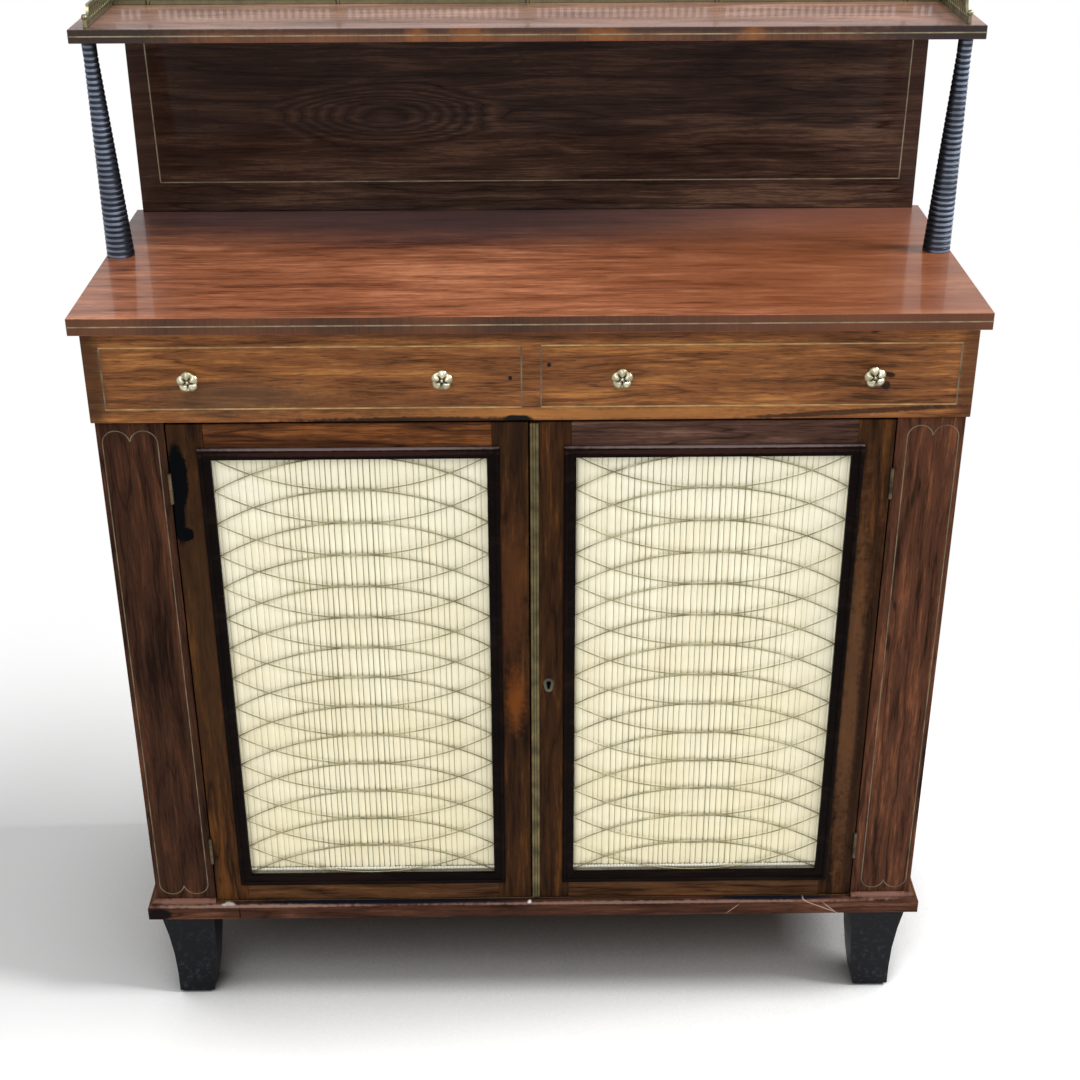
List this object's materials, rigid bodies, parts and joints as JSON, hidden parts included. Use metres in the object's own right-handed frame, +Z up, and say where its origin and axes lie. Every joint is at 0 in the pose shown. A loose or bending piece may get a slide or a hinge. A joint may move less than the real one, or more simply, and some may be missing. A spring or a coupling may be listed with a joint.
{
  "type": "chiffonier",
  "caption": "Low two-door cupboard with brass-latticed silk panels, a full-width frieze drawer, and a galleried upper shelf on turned columns.",
  "frame": {"origin": "middle of the part's bounding box, on the floor", "axes": "+X across the front to the right, +Y to the back, +Z up; the doors and the drawer face -Y"},
  "size_m": [0.943, 0.372, 1.1522],
  "materials": {
    "rosewood": "french polished",
    "faded_rosewood": "french polished",
    "ebonised_wood": "satin",
    "pine": "bare",
    "brass": "worn",
    "steel": "dull",
    "silk": "pleated"
  },
  "bodies": {
    "carcase": {"left_side": "rosewood", "right_side": "rosewood", "left_pilaster": "rosewood", "right_pilaster": "rosewood", "plinth_front": "rosewood", "plinth_left": "rosewood", "plinth_right": "rosewood", "main_top": "rosewood", "upper_shelf": "rosewood", "back_panel": "rosewood", "front_left_foot": "rosewood", "front_right_foot": "rosewood", "rear_left_foot": "rosewood", "rear_right_foot": "rosewood", "left_shelf_bearer": "pine", "left_column": "ebonised_wood", "left_gallery": "brass", "right_shelf_bearer": "pine", "right_column": "ebonised_wood", "right_gallery": "brass", "case_bottom": "pine", "case_back": "pine", "dust_board": "pine", "inner_shelf": "pine", "back_gallery": "brass", "gallery_posts": "brass", "case_hinge_leaves": "brass", "hinge_pins": "steel"},
    "drawer": {"drawer_front": "faded_rosewood", "drawer_left_side": "pine", "drawer_right_side": "pine", "drawer_back": "pine", "drawer_bottom": "pine", "knob_1": "brass", "knob_2": "brass", "knob_3": "brass", "knob_4": "brass", "knob_nuts": "steel"},
    "left_door": {"left_hinge_stile": "rosewood", "left_meeting_stile": "rosewood", "left_top_rail": "rosewood", "left_bottom_rail": "rosewood", "left_moulding": "rosewood", "left_lattice": "brass", "left_silk": "silk", "left_battens": "pine", "left_door_leaves": "brass"},
    "right_door": {"right_hinge_stile": "rosewood", "right_meeting_stile": "rosewood", "right_top_rail": "rosewood", "right_bottom_rail": "rosewood", "right_moulding": "rosewood", "right_lattice": "brass", "right_silk": "silk", "right_battens": "pine", "right_door_leaves": "brass", "closing_strip": "brass", "escutcheon": "brass", "lock_case": "brass"},
    "bolt": {"lock_bolt": "steel"}
  },
  "joints": [
    {"name": "drawer_slide", "type": "slide", "parent": "carcase", "child": "drawer", "axis": [0, -1, 0], "range_m": [0, 0.24]},
    {"name": "left_door_hinge", "type": "hinge", "parent": "carcase", "child": "left_door", "pos_m": [-0.37875, -0.1632, 0.45], "axis": [0, 0, -1], "range_deg": [0, 110]},
    {"name": "right_door_hinge", "type": "hinge", "parent": "carcase", "child": "right_door", "pos_m": [0.37875, -0.1632, 0.45], "axis": [0, 0, 1], "range_deg": [0, 110]},
    {"name": "bolt_slide", "type": "slide", "parent": "right_door", "child": "bolt", "axis": [-1, 0, 0], "range_m": [0, 0.007]}
  ]
}
